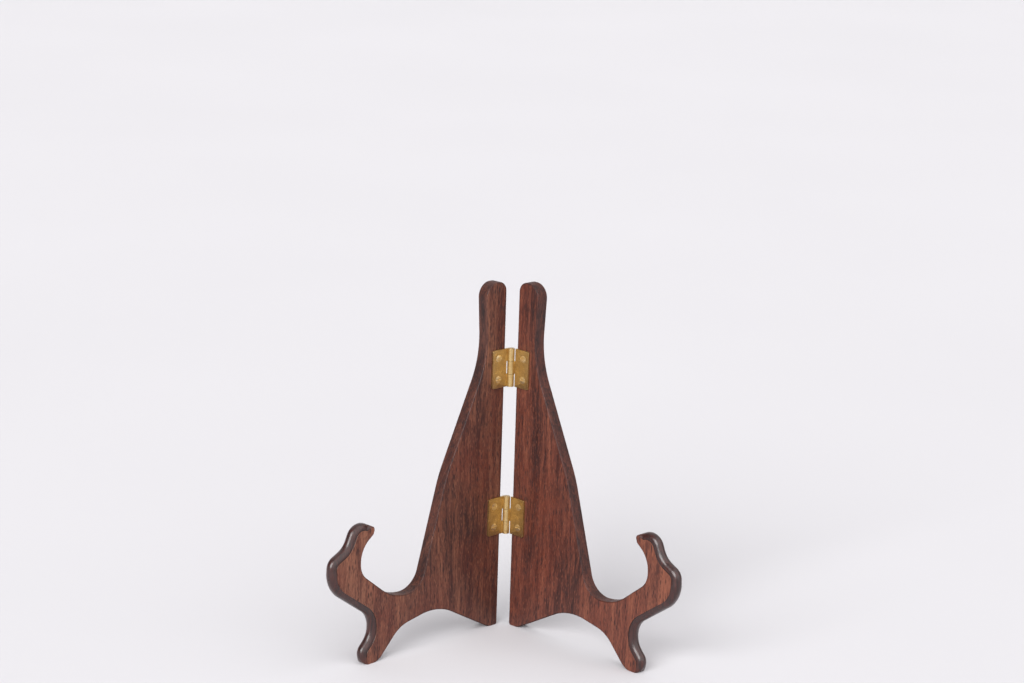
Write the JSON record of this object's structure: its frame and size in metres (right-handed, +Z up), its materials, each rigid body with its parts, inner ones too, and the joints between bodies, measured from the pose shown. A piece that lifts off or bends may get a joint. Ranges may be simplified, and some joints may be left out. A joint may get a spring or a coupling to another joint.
{
  "type": "plate display stand",
  "caption": "Folding wooden plate stand: a pair of S-shaped sides with hooked arms and moulded front edges, joined at the back by small brass butt hinges.",
  "frame": {"origin": "on the table, in the middle of the open stand's bounding box", "axes": "+Z up, -Y towards the viewer, the way the plate faces, +X to the viewer's right; the vertical hinge axis is at x = 0, y = 0.03019"},
  "size_m": [0.139, 0.067, 0.147],
  "materials": {
    "rosewood": "dark reddish brown, satin faces and polished moulded edges",
    "hinge_brass": "pressed brass, slightly tarnished",
    "screw_brass": "turned brass, slotted heads"
  },
  "bodies": {
    "left": {"left_side": "rosewood", "lower_hinge_left_leaf": "hinge_brass", "lower_hinge_left_screws": "screw_brass", "lower_hinge_pin": "hinge_brass", "upper_hinge_left_leaf": "hinge_brass", "upper_hinge_left_screws": "screw_brass", "upper_hinge_pin": "hinge_brass"},
    "right": {"right_side": "rosewood", "lower_hinge_right_leaf": "hinge_brass", "lower_hinge_right_screws": "screw_brass", "upper_hinge_right_leaf": "hinge_brass", "upper_hinge_right_screws": "screw_brass"}
  },
  "joints": [
    {"name": "fold", "type": "hinge", "parent": "left", "child": "right", "pos_m": [0, 0.03019, 0.08], "axis": [0, 0, 1], "range_deg": [-90, 120]}
  ]
}
